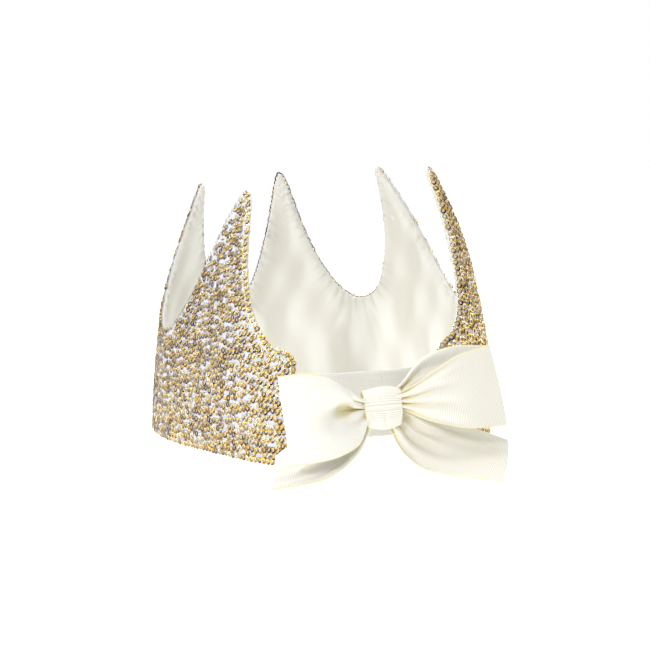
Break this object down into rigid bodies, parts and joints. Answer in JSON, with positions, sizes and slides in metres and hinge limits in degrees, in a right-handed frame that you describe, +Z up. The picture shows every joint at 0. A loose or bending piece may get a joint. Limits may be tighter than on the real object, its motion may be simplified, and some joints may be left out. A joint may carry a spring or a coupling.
{
  "type": "fabric crown",
  "caption": "Soft dress-up crown: a sequinned five-point cloth band with a satin lining, an elastic back that stretches and a tied ribbon bow.",
  "frame": {"origin": "centre of the bounding box, on the surface the lower edge stands on", "axes": "+Z up along the points, +Y to the wearer's front point, -Y to the elastic and the bow, +X to the right seen from behind"},
  "size_m": [0.164, 0.2371, 0.1225],
  "materials": {
    "sequin_cloth": "flat gold ring sequins sewn in rows on a pale lilac-white mesh",
    "stiffening": "plain sewn-in stiffening",
    "lining_satin": "ivory satin, soft sheen",
    "elastic_weave": "ivory woven elastic, fine rib",
    "ribbon": "cream grosgrain ribbon, fine cross ribs",
    "thread": "cream sewing thread"
  },
  "bodies": {
    "front_point": {"outer_front": "sequin_cloth", "stiffener_front": "stiffening", "lining_front": "lining_satin"},
    "left_point": {"outer_left": "sequin_cloth", "stiffener_left": "stiffening", "lining_left": "lining_satin"},
    "left_end_point": {"outer_left_end": "sequin_cloth", "stiffener_left_end": "stiffening", "lining_left_end": "lining_satin", "elastic_left_end": "elastic_weave", "elastic_stitch_left": "thread"},
    "right_point": {"outer_right": "sequin_cloth", "stiffener_right": "stiffening", "lining_right": "lining_satin"},
    "right_end_point": {"outer_right_end": "sequin_cloth", "stiffener_right_end": "stiffening", "lining_right_end": "lining_satin", "elastic_right_end": "elastic_weave", "elastic_stitch_right": "thread"},
    "elastic_left": {"elastic_left_run": "elastic_weave"},
    "elastic_centre": {"elastic_middle": "elastic_weave", "bow_tack_stitch": "thread", "bow_knot": "ribbon"},
    "elastic_right": {"elastic_right_run": "elastic_weave"},
    "left_loop": {"bow_left_loop": "ribbon"},
    "right_loop": {"bow_right_loop": "ribbon"},
    "left_tail": {"bow_left_tail": "ribbon"},
    "right_tail": {"bow_right_tail": "ribbon"}
  },
  "joints": [
    {"name": "opening", "type": "hinge", "parent": "front_point", "child": "left_point", "pos_m": [-0.03794, 0.10629, 0.022], "axis": [0, 0, -1], "range_deg": [0, 5], "stiffness_Nm_per_rad": 0.05},
    {"name": "left_end_bend", "type": "hinge", "parent": "left_point", "child": "left_end_point", "pos_m": [-0.07599, 0.03463, 0.022], "axis": [0, 0, -1], "range_deg": [0, 5.1]},
    {"name": "right_bend", "type": "hinge", "parent": "front_point", "child": "right_point", "pos_m": [0.03734, 0.09018, 0.022], "axis": [0, 0, 1], "range_deg": [0, 5.1]},
    {"name": "right_end_bend", "type": "hinge", "parent": "right_point", "child": "right_end_point", "pos_m": [0.07885, 0.01118, 0.022], "axis": [0, 0, 1], "range_deg": [0, 5.1]},
    {"name": "elastic_seam", "type": "hinge", "parent": "left_end_point", "child": "elastic_left", "pos_m": [-0.01453, -0.05647, 0.025], "axis": [0, 0, 1], "range_deg": [0, 15.3]},
    {"name": "elastic_left_stretch", "type": "slide", "parent": "elastic_left", "child": "elastic_centre", "axis": [0.9971, -0.0762, 0], "range_m": [0, 0.0254]},
    {"name": "elastic_right_stretch", "type": "slide", "parent": "elastic_centre", "child": "elastic_right", "axis": [0.9971, -0.0762, 0], "range_m": [0, 0.0178]},
    {"name": "left_loop_flap", "type": "hinge", "parent": "elastic_centre", "child": "left_loop", "pos_m": [0.01203, -0.0811, 0.026], "axis": [0, 0, 1], "range_deg": [-6, 10], "stiffness_Nm_per_rad": 0.002},
    {"name": "right_loop_flap", "type": "hinge", "parent": "elastic_centre", "child": "right_loop", "pos_m": [0.03053, -0.0811, 0.029], "axis": [0, 0, -1], "range_deg": [-6, 10], "stiffness_Nm_per_rad": 0.002},
    {"name": "left_tail_flap", "type": "hinge", "parent": "elastic_centre", "child": "left_tail", "pos_m": [0.01323, -0.0777, 0.017], "axis": [0, 0, 1], "range_deg": [-5, 6], "stiffness_Nm_per_rad": 0.002},
    {"name": "right_tail_flap", "type": "hinge", "parent": "elastic_centre", "child": "right_tail", "pos_m": [0.02973, -0.0786, 0.017], "axis": [0, 0, -1], "range_deg": [-5, 6], "stiffness_Nm_per_rad": 0.002}
  ],
  "couplings": [
    {"joint": "left_end_bend", "follows": "opening", "ratio": 1},
    {"joint": "right_bend", "follows": "opening", "ratio": 1},
    {"joint": "right_end_bend", "follows": "opening", "ratio": 1},
    {"joint": "elastic_seam", "follows": "opening", "ratio": 2.98},
    {"joint": "elastic_left_stretch", "follows": "opening", "m_per_rad": 0.285},
    {"joint": "elastic_right_stretch", "follows": "opening", "m_per_rad": 0.199}
  ]
}
